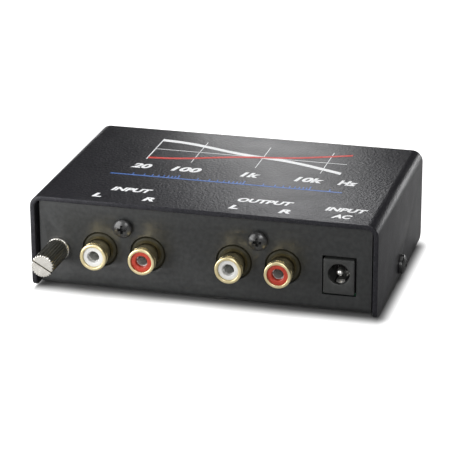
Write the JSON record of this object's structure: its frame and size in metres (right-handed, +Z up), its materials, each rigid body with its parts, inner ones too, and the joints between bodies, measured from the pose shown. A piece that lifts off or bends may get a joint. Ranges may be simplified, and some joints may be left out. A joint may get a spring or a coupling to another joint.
{
  "type": "phono preamp",
  "caption": "Small phono preamplifier: black folded steel case with twin phono sockets, a round power socket and a knurled ground terminal on one panel.",
  "frame": {"origin": "on the surface that the feet stand on, under the middle of the overall outline, which takes in the ground terminal", "axes": "+Z up, -Y out of the socket panel, +X to the right for someone who faces the socket panel"},
  "size_m": [0.111, 0.0832, 0.0302],
  "materials": {
    "black_textured_steel": "fine-textured black powder coat, satin",
    "black_panel_steel": "matt black paint on folded steel",
    "black_screw": "blackened steel, semi-gloss",
    "black_rubber": "matt moulded rubber",
    "black_plastic": "moulded black plastic, satin",
    "black_resin": "moulded black epoxy",
    "gold_plate": "bright gold plating on turned brass",
    "white_plastic": "white moulded plastic",
    "red_plastic": "red moulded plastic",
    "tinned_metal": "tin-plated contact metal",
    "spring_metal": "bright spring strip",
    "nickel": "bright nickel plating",
    "zinc_steel": "zinc-plated steel",
    "raw_brass": "turned brass",
    "green_wire": "green wire insulation",
    "green_board": "green solder mask on glass-fibre board",
    "capacitor_sleeve": "shrink sleeve with a bare metal top",
    "red_resin": "dipped red epoxy",
    "blue_resin": "blue lacquer",
    "lamp_resin": "tinted clear epoxy"
  },
  "bodies": {
    "case": {"top_cover": "black_textured_steel", "base_chassis": "black_panel_steel", "rubber_feet": "black_rubber", "cover_screws": "black_screw", "socket_screws": "black_screw", "input_socket_housing": "black_plastic", "output_socket_housing": "black_plastic", "input_earth_strap": "tinned_metal", "output_earth_strap": "tinned_metal", "power_socket_housing": "black_plastic", "power_socket_pin": "nickel", "power_socket_clip": "tinned_metal", "ground_bush": "raw_brass", "ground_lug": "tinned_metal", "ground_wire": "green_wire", "circuit_board": "green_board", "board_standoffs": "nickel", "board_screws": "zinc_steel", "chip_sockets": "black_plastic", "amplifier_chips": "black_resin", "positive_regulator": "black_resin", "negative_regulator": "black_resin", "supply_capacitors": "capacitor_sleeve", "coupling_capacitors": "capacitor_sleeve", "film_capacitors": "red_resin", "resistors": "blue_resin", "rectifier_diodes": "black_resin", "indicator_lamp": "lamp_resin", "input_left_sleeve": "gold_plate", "input_left_insulator": "white_plastic", "input_left_contact": "tinned_metal", "input_right_sleeve": "gold_plate", "input_right_insulator": "red_plastic", "input_right_contact": "tinned_metal", "output_left_sleeve": "gold_plate", "output_left_insulator": "white_plastic", "output_left_contact": "tinned_metal", "output_right_sleeve": "gold_plate", "output_right_insulator": "red_plastic", "output_right_contact": "tinned_metal"},
    "terminal_washer": {"ground_washer": "nickel"},
    "terminal_screw": {"ground_screw": "nickel"},
    "socket_leaf": {"power_socket_leaf": "spring_metal"}
  },
  "joints": [
    {"name": "terminal_travel", "type": "slide", "parent": "case", "child": "terminal_washer", "axis": [0, -1, 0], "range_m": [0, 0.0035]},
    {"name": "terminal_turn", "type": "hinge", "parent": "terminal_washer", "child": "terminal_screw", "pos_m": [-0.0454, -0.0266, 0.013], "axis": [0, -1, 0], "range_deg": [0, 1800]},
    {"name": "leaf_flex", "type": "hinge", "parent": "case", "child": "socket_leaf", "pos_m": [0.0416, -0.0148, 0.00947], "axis": [1, 0, 0], "range_deg": [0, 3.5], "stiffness_Nm_per_rad": 0.02}
  ],
  "couplings": [
    {"joint": "terminal_turn", "follows": "terminal_travel", "rad_per_m": 8975.9}
  ]
}
